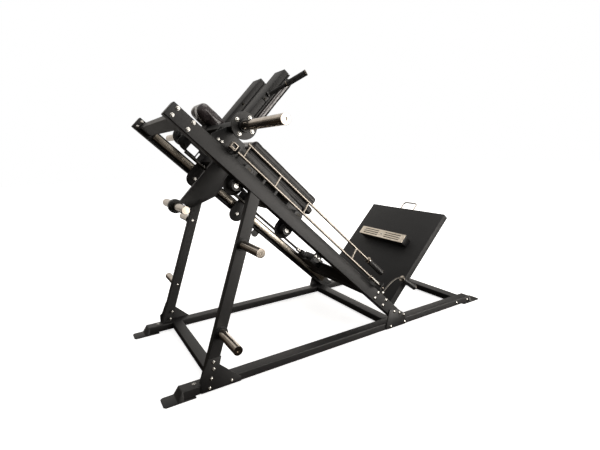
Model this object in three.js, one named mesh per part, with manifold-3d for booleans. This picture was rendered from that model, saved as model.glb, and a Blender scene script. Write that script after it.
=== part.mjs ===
// Plate-loaded 45 degree leg press / hack squat machine, as an assembly of named sub-parts.
// Millimetres, +Z up. +X runs from the high rear end to the foot platform, Y is across the machine.
// "left" is the +Y side and "right" the -Y side. The machine stands on the floor plane z = 0.
import * as THREE from "three";
import { mergeVertices } from "three/addons/utils/BufferGeometryUtils.js";
import Module from "manifold-3d";

const wasm = await Module();
wasm.setup();

// ---------------------------------------------------------------- driving dimensions
const GAP = 0.3; // clearance left between parts that touch in the real machine

// base frame
const FRAME_HALF_WIDTH = 500;
const BASE_TUBE_WIDTH = 75;
const BASE_TUBE_HEIGHT = 48;
const BASE_Z = 6;
const BASE_TOP = BASE_Z + BASE_TUBE_HEIGHT;
const BASE_REAR_X = -1155;
const BASE_FRONT_X = 1138;
const BASE_INNER_Y = FRAME_HALF_WIDTH - BASE_TUBE_WIDTH;
const REAR_CROSS_X = [-990, -920];
const MIDDLE_CROSS_X = [286, 360];
const FRONT_CROSS_X = [1020, 1095];
const FOOT_TIP_X = 1260.5; // the four foot tabs end here, ahead and behind
const FOOT_WIDTH = 100;
const WALL = 3.5;

// inclined rails: distances are measured up the rail (s), square to it (h) and across (y)
const RAIL_ANGLE = THREE.MathUtils.degToRad(44.3);
const RAIL_FOOT_X = 395.6; // where the line of the rails' lower edge meets the floor
const RAIL_TOP_S = 2115;
const RAIL_HEIGHT = 80;
const RAIL_WIDTH = 60;
const RAIL_INNER_Y = FRAME_HALF_WIDTH - RAIL_WIDTH;
const TRACK_H = [22, 62];
const TRACK_DEPTH = 36;
const TRACK_S = [120, 1975];
const TOP_TUBE_S = [1995, 2075];
const LOW_TUBE_S = [263, 343];

// raked uprights
const UPRIGHT_RAKE = 0.3502; // forward lean, x per z
const UPRIGHT_REAR_X = -1077; // rear edge of the upright where its line meets the floor
const UPRIGHT_DEPTH = 72;
const UPRIGHT_WIDTH = 40;
const GUSSET_PLATE = 6;

// plate storage pegs
const PEG_RADIUS = 25;
const PEG_LENGTH = 240;
const PEGS = { lower: [-923, 319], upper: [-770, 788] };

// sled
const SIDE_PLATE_Y = 372;
const SIDE_PLATE_THICKNESS = 8;
const SIDE_PLATE_TOP = 187.2;
const ROLLER_S = { upper: 1590, lower: 1172 };
const ROLLER_RADIUS = 34;
const ROLLER_WIDTH = 46;
const ROLLER_Y = 411;
const ROLLER_LOW_H = TRACK_H[0] - 0.5 - ROLLER_RADIUS;
const ROLLER_HIGH_H = TRACK_H[1] + 0.5 + ROLLER_RADIUS;
const LOBE_RADIUS = 58;
const HORN_S = 1808;
const HORN_H = 207.5;
const FLANGE_Y = 590;
const FLANGE_RADIUS = 70;
const SLEEVE_RADIUS = 25;
const SLEEVE_END_Y = 1028;
const LOW_HORN = { s: 1668, h: -273, halfLength: 240 };
const SHOULDER = { s: [1702, 1741], y: [104, 236], h: [247, 773] };
const HANDLE_BASE = { s: 1722, h: 567 };
const HANDLE_TIP = { s: 1676, y: 410, h: 770 };

// foot platform
const PLATFORM = { s: [74, 121], halfWidth: 412, h: [98, 906], sheet: 5 };

// safety catch ladder and lever, both on the right
const LADDER = { lowY: -545, lowH: 98, highY: -525, highH: 176, rod: 7.5, grip: 20 };
const LADDER_RUNGS = [741, 1216, 1455, 1696];
const BRACKET_S = [421, 1744];
const GUIDE_ROD = { h: 22, radius: 8.5, s: [560, 1835] };

// ---------------------------------------------------------------- materials
function steel(color, roughness, metalness) {
  return new THREE.MeshStandardMaterial({ color, roughness, metalness });
}
const POWDER_COAT = steel(0x232325, 0.55, 0.2);
const CHROME = steel(0xd9d6d0, 0.18, 1.0);
const BARE_STEEL = steel(0xb9b4aa, 0.35, 0.9);
const VINYL = steel(0x1b1b1d, 0.5, 0.0);
const NYLON = steel(0x2c2c2e, 0.6, 0.0);
const PRESSED_ALUMINIUM = steel(0xcfcac0, 0.3, 0.95);
const WRAPPED_VINYL = steel(0x4a484c, 0.35, 0.0);

// ---------------------------------------------------------------- geometry helpers
function box(x0, x1, y0, y1, z0, z1) {
  const geometry = new THREE.BoxGeometry(Math.abs(x1 - x0), Math.abs(y1 - y0), Math.abs(z1 - z0));
  return geometry.translate((x0 + x1) / 2, (y0 + y1) / 2, (z0 + z1) / 2);
}

// Box on the slope: s runs up the rails, so it is -x in the slope group.
function slopeBox(s0, s1, y0, y1, h0, h1) {
  return box(-s1, -s0, y0, y1, h0, h1);
}

function outline(points) {
  return new THREE.Shape(points.map(([u, v]) => new THREE.Vector2(u, v)));
}

// Profile in the X-Z plane, extruded across the machine from y0 to y1.
function acrossY(shape, y0, y1, curveSegments = 8) {
  const low = Math.min(y0, y1);
  const high = Math.max(y0, y1);
  const settings = { depth: high - low, bevelEnabled: false, curveSegments };
  return new THREE.ExtrudeGeometry(shape, settings).rotateX(Math.PI / 2).translate(0, high, 0);
}

// Profile in the Y-Z plane, extruded along X from x0 to x1.
function alongX(shape, x0, x1) {
  const settings = { depth: x1 - x0, bevelEnabled: false, curveSegments: 4 };
  const turn = new THREE.Matrix4().makeBasis(
    new THREE.Vector3(0, 1, 0),
    new THREE.Vector3(0, 0, 1),
    new THREE.Vector3(1, 0, 0),
  );
  return new THREE.ExtrudeGeometry(shape, settings).applyMatrix4(turn).translate(x0, 0, 0);
}

function roundedRectangle(width, height, radius) {
  const w = width / 2;
  const h = height / 2;
  const shape = new THREE.Shape();
  shape.moveTo(-w + radius, -h);
  shape.lineTo(w - radius, -h);
  shape.absarc(w - radius, -h + radius, radius, -Math.PI / 2, 0, false);
  shape.lineTo(w, h - radius);
  shape.absarc(w - radius, h - radius, radius, 0, Math.PI / 2, false);
  shape.lineTo(-w + radius, h);
  shape.absarc(-w + radius, h - radius, radius, Math.PI / 2, Math.PI, false);
  shape.lineTo(-w, -h + radius);
  shape.absarc(-w + radius, -h + radius, radius, Math.PI, Math.PI * 1.5, false);
  return shape;
}

// Hollow rectangular tube along X, centred on y = z = 0.
function tubeAlongX(length, width, height, radius = 5) {
  const shape = roundedRectangle(width, height, radius);
  const inner = roundedRectangle(width - 2 * WALL, height - 2 * WALL, 1.5);
  shape.holes.push(new THREE.Path(inner.getPoints(2)));
  return alongX(shape, 0, length);
}

function solidBarAlongX(length, width, height, radius) {
  return alongX(roundedRectangle(width, height, radius), 0, length);
}

// Cylinder between two points.
function rod(from, to, radius, segments = 20) {
  const a = new THREE.Vector3(...from);
  const b = new THREE.Vector3(...to);
  const direction = b.clone().sub(a);
  const geometry = new THREE.CylinderGeometry(radius, radius, direction.length(), segments);
  const turn = new THREE.Quaternion().setFromUnitVectors(
    new THREE.Vector3(0, 1, 0),
    direction.clone().normalize(),
  );
  geometry.applyQuaternion(turn);
  const middle = a.add(b).multiplyScalar(0.5);
  return geometry.translate(middle.x, middle.y, middle.z);
}

function toSolid(geometry) {
  const plain = geometry.clone();
  plain.deleteAttribute("normal");
  plain.deleteAttribute("uv");
  const merged = mergeVertices(plain, 1e-3);
  return new wasm.Manifold(
    new wasm.Mesh({
      numProp: 3,
      vertProperties: merged.attributes.position.array,
      triVerts: new Uint32Array(merged.index.array),
    }),
  );
}

function toGeometry(solid) {
  const mesh = solid.getMesh();
  const indexed = new THREE.BufferGeometry();
  indexed.setAttribute("position", new THREE.BufferAttribute(mesh.vertProperties, 3));
  indexed.setIndex(new THREE.BufferAttribute(mesh.triVerts, 1));
  const geometry = indexed.toNonIndexed();
  geometry.computeVertexNormals();
  return geometry;
}

function join(geometries) {
  return toGeometry(wasm.Manifold.union(geometries.map(toSolid)));
}

function cut(geometry, tools) {
  const tool = wasm.Manifold.union(tools.map(toSolid));
  return toGeometry(toSolid(geometry).subtract(tool));
}

function common(a, b) {
  return toGeometry(toSolid(a).intersect(toSolid(b)));
}

const machine = new THREE.Group();
machine.name = "leg_press_machine";
const slope = new THREE.Group(); // x points down the rails, z square to them
slope.name = "rail_slope";
slope.rotation.y = RAIL_ANGLE;
slope.position.set(RAIL_FOOT_X, 0, 0);
machine.add(slope);

function add(parent, name, geometry, material) {
  const mesh = new THREE.Mesh(geometry, material);
  mesh.name = name;
  parent.add(mesh);
  return mesh;
}

const SIDES = [
  ["left", 1],
  ["right", -1],
];

// ---------------------------------------------------------------- base frame
function baseRail(side) {
  const length = BASE_FRONT_X - BASE_REAR_X;
  const tube = tubeAlongX(length, BASE_TUBE_WIDTH, BASE_TUBE_HEIGHT);
  const y = side * (FRAME_HALF_WIDTH - BASE_TUBE_WIDTH / 2);
  return tube.translate(BASE_REAR_X, y, BASE_Z + BASE_TUBE_HEIGHT / 2);
}

function crossTube([x0, x1], halfLength, z0, z1) {
  const tube = tubeAlongX(2 * halfLength, x1 - x0, z1 - z0);
  tube.translate(-halfLength, 0, 0).rotateZ(Math.PI / 2);
  return tube.translate((x0 + x1) / 2, 0, (z0 + z1) / 2);
}

// Bent foot: a floor tab, a sloping end piece that covers the tube and a sole under it.
function foot(end, side) {
  const tubeEnd = end < 0 ? BASE_REAR_X : BASE_FRONT_X;
  const reach = FOOT_TIP_X - Math.abs(tubeEnd);
  const at = (out) => tubeEnd + end * out;
  const profile = outline([
    [at(reach), 0],
    [at(-65), 0],
    [at(-65), BASE_Z - GAP],
    [at(GAP), BASE_Z - GAP],
    [at(GAP), BASE_TOP],
    [at(7), BASE_TOP],
    [at(32), 9],
    [at(36), 6.5],
    [at(reach), 6.5],
  ]);
  const half = FOOT_WIDTH / 2;
  const body = acrossY(profile, -half, half);
  const front = outline([
    [-half, -1],
    [half, -1],
    [half, 10],
    [BASE_TUBE_WIDTH / 2, BASE_TOP + 1],
    [-BASE_TUBE_WIDTH / 2, BASE_TOP + 1],
    [-half, 10],
  ]);
  const limit = alongX(front, -1400, 1400);
  const plan = new THREE.Shape();
  const [a, b] = [at(-65), at(reach)];
  plan.moveTo(a, -half);
  plan.lineTo(b - end * 12, -half);
  plan.lineTo(b, -half + 12);
  plan.lineTo(b, half - 12);
  plan.lineTo(b - end * 12, half);
  plan.lineTo(a, half);
  const stamp = new THREE.ExtrudeGeometry(plan, { depth: 80, bevelEnabled: false });
  stamp.translate(0, 0, -10);
  const trimmed = common(common(body, limit), stamp);
  return trimmed.translate(0, side * (FRAME_HALF_WIDTH - BASE_TUBE_WIDTH / 2), 0);
}

for (const [label, side] of SIDES) {
  add(machine, `base_rail_${label}`, baseRail(side), POWDER_COAT);
  add(machine, `foot_rear_${label}`, foot(-1, side), POWDER_COAT);
  add(machine, `foot_front_${label}`, foot(1, side), POWDER_COAT);
}
const BETWEEN_RAILS = BASE_INNER_Y - GAP;
for (const [name, span] of [
  ["rear_cross_tube", REAR_CROSS_X],
  ["middle_cross_tube", MIDDLE_CROSS_X],
  ["front_cross_tube", FRONT_CROSS_X],
]) {
  add(machine, name, crossTube(span, BETWEEN_RAILS, BASE_Z, BASE_TOP), POWDER_COAT);
}

// ---------------------------------------------------------------- rails on the slope
const SIN = Math.sin(RAIL_ANGLE);
const COS = Math.cos(RAIL_ANGLE);

// Lower end of anything on the slope that has to stop above the base rails.
function aboveBase(geometry) {
  const floor = box(-3000, 3000, -1500, 1500, -3000, BASE_TOP + GAP);
  floor.translate(-RAIL_FOOT_X, 0, 0).rotateY(-RAIL_ANGLE);
  return cut(geometry, [floor]);
}

function catchBracket(s) {
  const plate = slopeBox(s - 4, s + 4, -446, -566, RAIL_HEIGHT - 2, 122);
  const y = LADDER.lowY;
  const bore = rod([-s - 10, y, LADDER.lowH], [-s + 10, y, LADDER.lowH], LADDER.rod + 0.8, 16);
  return cut(plate, [bore]);
}

function rail(side) {
  const y = side * (FRAME_HALF_WIDTH - RAIL_WIDTH / 2);
  const tube = tubeAlongX(RAIL_TOP_S, RAIL_WIDTH, RAIL_HEIGHT);
  const trimmed = aboveBase(tube.translate(-RAIL_TOP_S, y, RAIL_HEIGHT / 2));
  const lug = rod([-908, side * 462, -24], [-908, side * 470, -24], 30, 24);
  const parts = [trimmed, lug, slopeBox(880, 936, side * 462, side * 470, -24, 3)];
  if (side < 0) {
    parts.push(...BRACKET_S.map(catchBracket));
    parts.push(slopeBox(274, 302, -458, -450, RAIL_HEIGHT - 2, 106));
  }
  return join(parts);
}

function track(side) {
  const y0 = side * (RAIL_INNER_Y - TRACK_DEPTH);
  const y1 = side * (RAIL_INNER_Y - GAP);
  return slopeBox(TRACK_S[0], TRACK_S[1], y0, y1, TRACK_H[0], TRACK_H[1]);
}

// Welded gusset that ties the lower end of a rail to the base rail.
function railGusset(side) {
  const plate = outline([
    [286, 150],
    [366, 134],
    [415, 99],
    [435, 75],
    [435, 10],
    [255, 10],
    [251, 30],
  ]);
  const y = side * (FRAME_HALF_WIDTH + GAP);
  return acrossY(plate, y, y + side * 8);
}

function slopeCrossTube([s0, s1], h0, h1, halfLength) {
  return crossTube([-s1, -s0], halfLength, h0, h1);
}

function lowerDeck() {
  const tube = slopeCrossTube(LOW_TUBE_S, 34, 78, RAIL_INNER_Y - TRACK_DEPTH - GAP);
  const plate = slopeBox(LOW_TUBE_S[1] - 6, 604, -352, 352, 38, 46);
  const block = slopeBox(564, 662, -62, 62, 4, 66);
  const { h, radius } = GUIDE_ROD;
  const bore = rod([-700, 0, h], [-520, 0, h], radius + GAP, 16);
  return cut(join([tube, plate, block]), [bore]);
}

for (const [label, side] of SIDES) {
  add(slope, `rail_${label}`, rail(side), POWDER_COAT);
  add(slope, `rail_track_${label}`, track(side), BARE_STEEL);
  add(machine, `rail_gusset_${label}`, railGusset(side), POWDER_COAT);
}
const topTube = slopeCrossTube(TOP_TUBE_S, 19, 69, RAIL_INNER_Y - GAP);
add(slope, "top_cross_tube", topTube, POWDER_COAT);
add(slope, "lower_deck", lowerDeck(), POWDER_COAT);
const guideEnds = GUIDE_ROD.s.map((s) => [-s, 0, GUIDE_ROD.h]);
add(slope, "guide_rod", rod(...guideEnds, GUIDE_ROD.radius, 16), CHROME);

// ---------------------------------------------------------------- uprights and pegs
// A raked tube, cut level on the base rail and to the slope of the rail at its head.
function upright(side) {
  const y = side * (FRAME_HALF_WIDTH - UPRIGHT_WIDTH / 2);
  const lean = Math.atan(UPRIGHT_RAKE);
  const tube = tubeAlongX(1500, UPRIGHT_DEPTH * Math.cos(lean), UPRIGHT_WIDTH);
  tube.rotateX(Math.PI / 2).rotateY(-Math.PI / 2).translate(0, 0, -150);
  tube.rotateY(lean).translate(UPRIGHT_REAR_X + UPRIGHT_DEPTH / 2, y, 0);
  const below = box(-3000, 3000, -1500, 1500, -3000, BASE_TOP + GAP);
  const above = slopeBox(-500, 3500, -1500, 1500, -GAP, 3000);
  above.rotateY(RAIL_ANGLE).translate(RAIL_FOOT_X, 0, 0);
  return cut(tube, [below, above]);
}

function uprightGusset(side) {
  const plate = outline([
    [-1062, 8],
    [-832, 8],
    [-832, 34],
    [-948, 146],
    [-935, 192],
    [-1010, 192],
    [-1046, 112],
    [-1062, 100],
  ]);
  const y = side * (FRAME_HALF_WIDTH + GAP);
  return acrossY(plate, y, y + side * GUSSET_PLATE);
}

function peg([x, z], side) {
  const y = side * (FRAME_HALF_WIDTH + GAP);
  return rod([x, y, z], [x, y + side * PEG_LENGTH, z], PEG_RADIUS, 28);
}

for (const [label, side] of SIDES) {
  add(machine, `upright_${label}`, upright(side), POWDER_COAT);
  add(machine, `upright_gusset_${label}`, uprightGusset(side), POWDER_COAT);
  for (const [level, place] of Object.entries(PEGS)) {
    add(machine, `storage_peg_${level}_${label}`, peg(place, side), CHROME);
  }
}

// ---------------------------------------------------------------- foot platform
// Folded steel tray, open behind, on two pivot lugs.
function platform() {
  const { s, halfWidth, h, sheet } = PLATFORM;
  const tray = slopeBox(s[0], s[1], -halfWidth, halfWidth, h[0], h[1]);
  const inner = halfWidth - sheet;
  const pocket = slopeBox(s[0] - 10, s[1] - sheet, -inner, inner, h[0] + sheet, h[1] - sheet);
  const lugs = [-398, 362].map((y) => slopeBox(s[0] + 6, s[1] - 2, y, y + 36, 80, h[0] + 16));
  return join([cut(tray, [pocket]), ...lugs]);
}

function platformHandle() {
  const top = PLATFORM.h[1];
  const points = [
    [-81, top + GAP],
    [-81, top + 50],
    [-76, top + 63],
    [-64, top + 68],
    [46, top + 68],
    [58, top + 63],
    [63, top + 50],
    [63, top + GAP],
  ].map(([y, h]) => new THREE.Vector3(-112, y, h));
  const line = new THREE.CurvePath();
  for (let i = 1; i < points.length; i += 1) {
    line.add(new THREE.LineCurve3(points[i - 1], points[i]));
  }
  const circle = new THREE.Shape().absarc(0, 0, 5.8, 0, Math.PI * 2, false);
  const settings = { extrudePath: line, steps: 30, bevelEnabled: false, curveSegments: 5 };
  return new THREE.ExtrudeGeometry(circle, settings);
}

// Open-bottomed slotted tread plate that caps the calf block.
function calfTread() {
  const face = roundedRectangle(514, 72, 3);
  for (const group of [-1, 1]) {
    for (const row of [-19, 0, 19]) {
      const slot = roundedRectangle(176, 7, 3.4);
      const points = slot.getPoints(3).map((p) => new THREE.Vector2(p.x + group * 126, p.y + row));
      face.holes.push(new THREE.Path(points));
    }
  }
  return alongX(face, -194.3, -190.3).translate(0, 0, 584);
}

add(slope, "foot_platform", platform(), POWDER_COAT);
add(slope, "platform_handle", platformHandle(), CHROME);
add(slope, "calf_block", slopeBox(121.3, 190, -255, 255, 550, 618), POWDER_COAT);
add(slope, "calf_tread", calfTread(), PRESSED_ALUMINIUM);

// ---------------------------------------------------------------- sled
function lobedPlateOutline() {
  const { upper, lower } = ROLLER_S;
  const shape = new THREE.Shape();
  const underside = 94;
  shape.moveTo(-1850, 112);
  shape.lineTo(-1800, underside);
  shape.lineTo(-(upper + LOBE_RADIUS), underside);
  shape.lineTo(-(upper + LOBE_RADIUS), ROLLER_LOW_H);
  shape.absarc(-upper, ROLLER_LOW_H, LOBE_RADIUS, Math.PI, 0, false);
  shape.lineTo(-(upper - LOBE_RADIUS), underside);
  shape.lineTo(-(lower + LOBE_RADIUS), underside);
  shape.lineTo(-(lower + LOBE_RADIUS), ROLLER_LOW_H);
  shape.absarc(-lower, ROLLER_LOW_H, LOBE_RADIUS, Math.PI, 0, false);
  shape.lineTo(-(lower - LOBE_RADIUS), 118);
  shape.lineTo(-(lower - 20), 164);
  shape.lineTo(-1540, SIDE_PLATE_TOP);
  shape.lineTo(-1850, SIDE_PLATE_TOP);
  const windows = [
    [-1766, -1690, 110, 164],
    [-1682, -1668, 106, 150],
    [-1520, -1464, 104, 152],
    [-1448, -1362, 106, 150],
    [-1346, -1252, 106, 146],
  ];
  for (const [x0, x1, h0, h1] of windows) {
    const frame = roundedRectangle(x1 - x0, h1 - h0, 6);
    const move = new THREE.Vector2((x0 + x1) / 2, (h0 + h1) / 2);
    shape.holes.push(new THREE.Path(frame.getPoints(2).map((p) => p.clone().add(move))));
  }
  return shape;
}

function sidePlate(side) {
  const outer = side * (SIDE_PLATE_Y + SIDE_PLATE_THICKNESS);
  return acrossY(lobedPlateOutline(), side * SIDE_PLATE_Y, outer, 10);
}

// Hanging centre arm with a boss for the lower weight horn and a bore for the guide rod.
function centreArm() {
  const plate = outline([
    [-1666, 175],
    [-1666, -236],
    [-1592, -228],
    [-1548, -146],
    [-1512, -70],
    [-1512, 175],
  ]);
  const arm = acrossY(plate, -15, 15);
  const boss = rod([-LOW_HORN.s, -20, LOW_HORN.h], [-LOW_HORN.s, 20, LOW_HORN.h], 43, 28);
  const collars = [-1, 1].map((side) =>
    rod(
      [-LOW_HORN.s, side * 19, LOW_HORN.h],
      [-LOW_HORN.s, side * 30, LOW_HORN.h],
      41,
      28,
    ),
  );
  return join([arm, boss, ...collars]);
}

function sledFrame() {
  const beam = slopeBox(HORN_S - 25, HORN_S + 25, -FLANGE_Y + GAP, FLANGE_Y - GAP, 187.5, 227.5);
  const inside = SIDE_PLATE_Y - GAP;
  const upperCross = slopeBox(1570, 1630, -inside, inside, 112, 162);
  const lowerCross = slopeBox(1142, 1202, -inside, inside, 106, 158);
  const spine = slopeBox(1142, 1850, -40, 40, 150, 222);
  const shoulderBar = slopeBox(SHOULDER.s[0], SHOULDER.s[1], -236, 236, 205, 246.5);
  const guide = GUIDE_ROD.h;
  const parts = [beam, upperCross, lowerCross, spine, shoulderBar, centreArm()];
  const rodBore = rod([-1900, 0, guide], [-1400, 0, guide], GUIDE_ROD.radius + 1, 16);
  const { s, h } = LOW_HORN;
  const hornBore = rod([-s, -60, h], [-s, 60, h], SLEEVE_RADIUS + GAP, 28);
  return cut(join(parts), [rodBore, hornBore]);
}

// Plate that hangs under the horn beam beside the ladder and carries the safety catch.
function catchPlate(side) {
  const plate = outline([
    [-1868, 88],
    [-1872, 110],
    [-1836, 187.2],
    [-1696, 187.2],
    [-1690, 120],
    [-1702, 86],
    [-1850, 86],
  ]);
  return acrossY(plate, side * 428, side * 436);
}

function hornFlange(side) {
  const y = side * FLANGE_Y;
  const disc = rod([-HORN_S, y, HORN_H], [-HORN_S, y + side * 8, HORN_H], FLANGE_RADIUS, 36);
  const collar = rod([-HORN_S, y + side * 7, HORN_H], [-HORN_S, y + side * 24, HORN_H], 41, 32);
  return join([disc, collar]);
}

function sleeve(side) {
  const from = side * (FLANGE_Y + 24 + GAP);
  return rod([-HORN_S, from, HORN_H], [-HORN_S, side * SLEEVE_END_Y, HORN_H], SLEEVE_RADIUS, 32);
}

function roller(s, h, side) {
  const y0 = side * (ROLLER_Y - ROLLER_WIDTH / 2);
  const y1 = side * (ROLLER_Y + ROLLER_WIDTH / 2);
  return rod([-s, y0, h], [-s, y1, h], ROLLER_RADIUS, 28);
}

// Flat pad with rounded ends, lying along the rails.
function longPad(s0, s1, halfWidth, h0, h1, radius) {
  const profile = roundedRectangle(s1 - s0, h1 - h0, radius);
  const pad = acrossY(profile, -halfWidth, halfWidth, 5);
  return pad.translate(-(s0 + s1) / 2, 0, (h0 + h1) / 2);
}

function shoulderPad(side) {
  const pad = roundedRectangle(SHOULDER.y[1] - SHOULDER.y[0] + 6, 392, 14);
  const body = alongX(pad, -1701.5, -1640);
  return body.translate(0, side * ((SHOULDER.y[0] + SHOULDER.y[1]) / 2), 572);
}

function shoulderPost(side) {
  const [s0, s1] = SHOULDER.s;
  const [y0, y1] = SHOULDER.y;
  const [h0, h1] = SHOULDER.h;
  const outer = slopeBox(s0, s1, side * y0, side * y1, h0, h1);
  const [in0, in1] = [y0 + 4, y1 - 4];
  const inner = slopeBox(s0 + 4, s1 - 4, side * in0, side * in1, h0 - 10, h1 + 10);
  return cut(outer, [inner]);
}

function shoulderHandle(side) {
  const { s, h } = HANDLE_BASE;
  const y = side * (SHOULDER.y[1] + GAP);
  const plate = slopeBox(s - 18, s + 18, y, y + side * 6, h - 34, h + 34);
  const at = (distance) => {
    const t = (distance - Math.abs(y)) / (HANDLE_TIP.y - Math.abs(y));
    return [-s - t * (HANDLE_TIP.s - s), side * distance, h + t * (HANDLE_TIP.h - h)];
  };
  const tube = rod(at(Math.abs(y) + 10.5), at(328), 12.5, 20);
  const ring = rod(at(322), at(328), 20, 20);
  const grip = rod(at(327), at(HANDLE_TIP.y), 18, 20);
  return join([plate, tube, ring, grip]);
}

add(slope, "sled_frame", sledFrame(), POWDER_COAT);
add(slope, "back_base", longPad(928, 1576, 150, 225, 287, 26), VINYL);
add(slope, "back_pad", longPad(952, 1580, 150, 290, 356, 22), WRAPPED_VINYL);
add(slope, "head_pad", longPad(1757, 1962, 100, 228.5, 322, 44), WRAPPED_VINYL);
const { s: lowHornS, h: lowHornH, halfLength } = LOW_HORN;
const lowHornEnds = [-halfLength, halfLength].map((y) => [-lowHornS, y, lowHornH]);
add(slope, "lower_horn", rod(...lowHornEnds, SLEEVE_RADIUS, 28), CHROME);
add(slope, "catch_plate", catchPlate(-1), POWDER_COAT);
for (const [label, side] of SIDES) {
  add(slope, `sled_plate_${label}`, sidePlate(side), POWDER_COAT);
  add(slope, `horn_flange_${label}`, hornFlange(side), POWDER_COAT);
  add(slope, `weight_sleeve_${label}`, sleeve(side), CHROME);
  add(slope, `shoulder_post_${label}`, shoulderPost(side), POWDER_COAT);
  add(slope, `shoulder_pad_${label}`, shoulderPad(side), WRAPPED_VINYL);
  add(slope, `shoulder_handle_${label}`, shoulderHandle(side), POWDER_COAT);
  for (const [level, s] of Object.entries(ROLLER_S)) {
    const names = [`roller_${level}_under_${label}`, `roller_${level}_over_${label}`];
    add(slope, names[0], roller(s, ROLLER_LOW_H, side), NYLON);
    add(slope, names[1], roller(s, ROLLER_HIGH_H, side), NYLON);
  }
}

// ---------------------------------------------------------------- catch ladder and lever
function catchLadder() {
  const { lowY, lowH, highY, highH, rod: radius } = LADDER;
  const low = rod([-398, lowY, lowH], [-1782, lowY, lowH], radius, 14);
  const high = rod([-462, highY, highH], [-1712, highY, highH], radius, 14);
  const rungs = LADDER_RUNGS.map((s) => rod([-s, lowY, lowH], [-s, highY, highH], 5.5, 12));
  return join([low, high, ...rungs]);
}

function catchLadderGrip() {
  const { highY, highH, rod: radius, grip } = LADDER;
  const sleeve = rod([-453, highY, highH], [-606, highY, highH], grip, 20);
  return cut(sleeve, [rod([-461, highY, highH], [-620, highY, highH], radius + GAP, 14)]);
}

function releaseLever() {
  const y = -466;
  const path = new THREE.CatmullRomCurve3(
    [
      [288, 94],
      [280, 150],
      [262, 212],
      [238, 252],
      [205, 271],
      [168, 277],
    ].map(([s, h]) => new THREE.Vector3(-s, y, h)),
  );
  const circle = new THREE.Shape().absarc(0, 0, 6.2, 0, Math.PI * 2, false);
  const settings = { extrudePath: path, steps: 22, bevelEnabled: false, curveSegments: 6 };
  const bar = new THREE.ExtrudeGeometry(circle, settings);
  const grip = rod([-198, y, 272], [-50, y, 292], 20, 20);
  const eye = rod([-288, y - 6.5, 94], [-288, y + 6.5, 94], 11, 20);
  return join([bar, grip, eye]);
}

add(slope, "catch_ladder", catchLadder(), CHROME);
add(slope, "catch_ladder_grip", catchLadderGrip(), VINYL);
add(slope, "release_lever", releaseLever(), CHROME);

export default machine;
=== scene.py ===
"""Plate-loaded leg press and hack squat machine: its looks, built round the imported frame.

Sizes are in millimetres and turned into metres by MM. On the slope, s is the distance up the
rails from the floor, h is square to them and y is across the machine.
"""
import math

import bpy
from mathutils import Matrix, Vector


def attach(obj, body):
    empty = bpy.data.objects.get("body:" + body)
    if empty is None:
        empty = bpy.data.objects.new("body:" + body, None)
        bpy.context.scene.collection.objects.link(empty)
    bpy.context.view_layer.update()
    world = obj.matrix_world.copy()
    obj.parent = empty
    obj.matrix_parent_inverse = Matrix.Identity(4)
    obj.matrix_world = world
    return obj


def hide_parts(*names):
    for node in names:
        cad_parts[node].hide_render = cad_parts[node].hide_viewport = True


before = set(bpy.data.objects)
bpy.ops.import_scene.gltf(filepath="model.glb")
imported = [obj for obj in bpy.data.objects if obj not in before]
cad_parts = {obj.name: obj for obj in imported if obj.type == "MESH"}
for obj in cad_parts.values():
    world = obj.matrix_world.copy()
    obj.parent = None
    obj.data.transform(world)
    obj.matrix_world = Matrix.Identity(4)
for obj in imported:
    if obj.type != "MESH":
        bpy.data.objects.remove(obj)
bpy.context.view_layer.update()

MM = 0.001
SLOPE = math.radians(44.3)
RAIL_FOOT = Vector((395.6, 0, 0)) * MM
SIDES = (("left", 1), ("right", -1))

# places on the slope, in millimetres: x is -s
RAIL_OUTER_Y = 500
RAIL_INNER_Y = 440
HORN_X, HORN_H = -1808, 207.5
LOW_HORN_X, LOW_HORN_H = -1668, -273
GUIDE_H = 22
ROLLER_LEVELS = (("upper", 1590), ("lower", 1172))
ROLLER_SEATS = (("under", -12.5), ("over", 96.5))
LADDER_RUNGS = (741, 1216, 1455, 1696)
HANDLE_X, HANDLE_Y = -112, -9
scene = bpy.context.scene


# ------------------------------------------------------------------ camera and light
def set_up_camera():
    """Standing at the rear right of the machine, a little above its shoulder pads."""
    yaw, pitch, roll = (math.radians(angle) for angle in (30.29, -9.62, -2.43))
    forward = Vector(
        (math.sin(yaw) * math.cos(pitch), math.cos(yaw) * math.cos(pitch), math.sin(pitch))
    )
    level = Vector((math.cos(yaw), -math.sin(yaw), 0))
    upright = level.cross(forward)
    right = level * math.cos(roll) + upright * math.sin(roll)
    up = upright * math.cos(roll) - level * math.sin(roll)
    lens = bpy.data.cameras.new("camera")
    lens.sensor_width = 36
    lens.lens = 24.245
    lens.shift_x = -0.0018
    lens.shift_y = -0.017
    camera = bpy.data.objects.new("camera", lens)
    scene.collection.objects.link(camera)
    turn = Matrix((right, up, -forward)).transposed().to_4x4()
    camera.matrix_world = Matrix.Translation((-1.5649, -2.5073, 1.2986)) @ turn
    scene.camera = camera


set_up_camera()


def linear(hex_colour):
    """An sRGB hex value such as "1b1b1c" as a linear colour with alpha."""
    parts = [int(hex_colour[i : i + 2], 16) / 255 for i in (0, 2, 4)]
    return [c / 12.92 if c <= 0.04045 else ((c + 0.055) / 1.055) ** 2.4 for c in parts] + [1.0]


def add_node(tree, kind, inputs=(), **settings):
    """Adds a node. inputs pairs a socket with a value or with another node's output."""
    node = tree.nodes.new(kind)
    for key, value in settings.items():
        setattr(node, key, value)
    for socket, value in dict(inputs).items():
        if isinstance(value, bpy.types.NodeSocket):
            tree.links.new(value, node.inputs[socket])
        else:
            node.inputs[socket].default_value = value
    return node


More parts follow.
